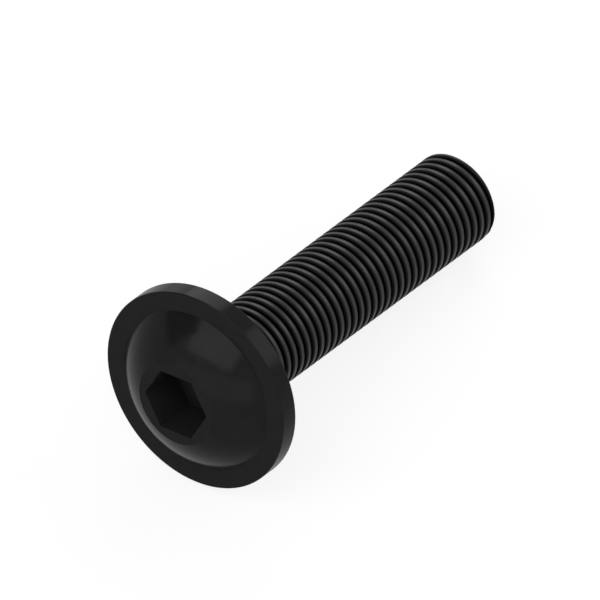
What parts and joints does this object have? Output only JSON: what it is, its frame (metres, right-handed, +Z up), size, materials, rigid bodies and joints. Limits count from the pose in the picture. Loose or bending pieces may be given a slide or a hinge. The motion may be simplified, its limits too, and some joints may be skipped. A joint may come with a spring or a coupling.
{
  "type": "flanged socket head screw",
  "caption": "Black steel button head screw with a round flange under a domed head, a hexagon socket and a fine thread along its whole shank.",
  "frame": {"origin": "on the floor under the middle of the box of the screw as it lies, resting on the edge of its flange and the edge of its tip", "axes": "+Z up; the screw's axis lies in the YZ plane, with the head towards -Y and the tip towards +Y and 8.3 degrees below level"},
  "size_m": [0.0134, 0.029, 0.0134],
  "materials": {
    "blackened_steel": "black oxide, satin"
  },
  "bodies": {
    "root": {"flanged_screw": "blackened_steel"}
  },
  "joints": []
}
